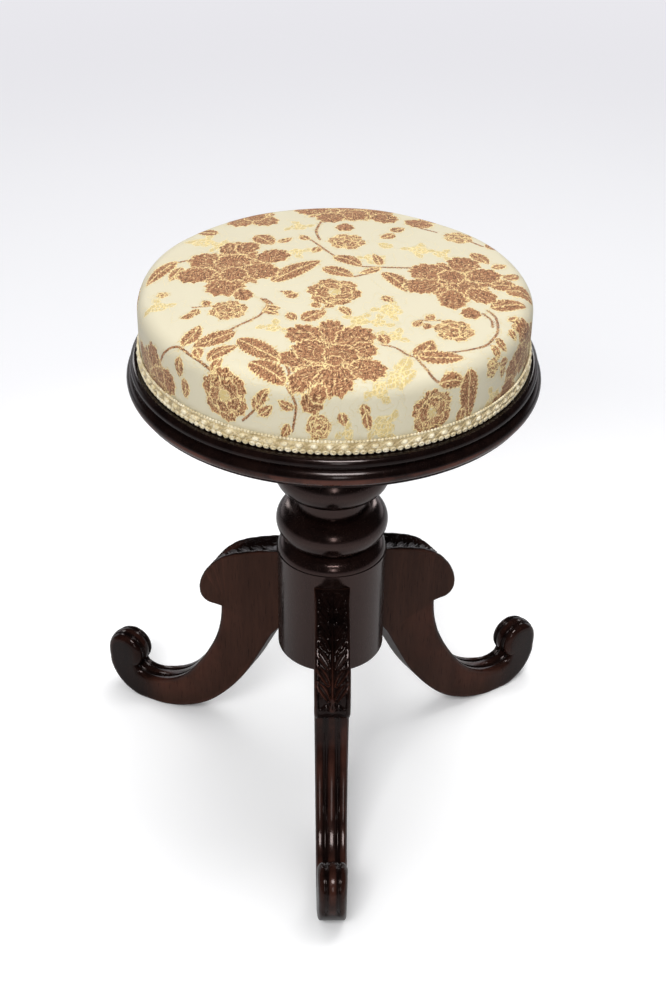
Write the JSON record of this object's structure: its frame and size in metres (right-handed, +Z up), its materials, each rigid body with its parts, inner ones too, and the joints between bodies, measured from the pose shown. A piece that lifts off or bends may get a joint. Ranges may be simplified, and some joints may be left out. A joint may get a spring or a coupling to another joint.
{
  "type": "revolving piano stool",
  "caption": "Round revolving stool: a padded seat on a steel height screw, a turned column and scroll legs in a tripod, with the seat rising as it is turned.",
  "frame": {"origin": "on the height screw's axis at floor level, the plane that the legs rest on", "axes": "+Z up along the screw's axis, and the front leg points along -Y"},
  "size_m": [0.4393, 0.4215, 0.5179],
  "materials": {
    "mahogany": "dark mahogany, old high-gloss shellac",
    "mahogany_turned": "dark mahogany, turned and polished",
    "iron": "black japanned casting",
    "steel": "plain steel wood screws and pin",
    "screw_steel": "turned steel, oiled",
    "leather": "worn harness leather",
    "ply": "raw plywood",
    "foam": "upholstery foam",
    "wadding": "soft cotton wadding",
    "cover": "floral jacquard weave on an ivory ground",
    "tacks": "blued steel tacks",
    "braid": "woven gimp in ivory and gold"
  },
  "bodies": {
    "base": {"column": "mahogany_turned", "leg_front": "mahogany", "leg_right": "mahogany", "leg_left": "mahogany", "brace_plate": "iron", "brace_screws": "steel", "nut_plate": "iron", "nut_screws": "steel"},
    "washer": {"friction_washer": "leather"},
    "seat": {"spindle": "screw_steel", "spindle_plate": "iron", "spindle_pin": "steel", "plate_screws": "steel", "seat_base": "mahogany_turned", "pad_board": "ply", "pad_screws": "steel", "pad_foam": "foam", "pad_wadding": "wadding", "seat_cover": "cover", "cover_tacks": "tacks", "gimp_braid": "braid"}
  },
  "joints": [
    {"name": "seat_spin", "type": "hinge", "parent": "base", "child": "washer", "pos_m": [0, 0, 0.4177], "axis": [0, 0, 1], "range_deg": [0, 6480]},
    {"name": "seat_lift", "type": "slide", "parent": "washer", "child": "seat", "axis": [0, 0, 1], "range_m": [0, 0.1144]}
  ],
  "couplings": [
    {"joint": "seat_lift", "follows": "seat_spin", "m_per_rad": 0.0010106}
  ]
}
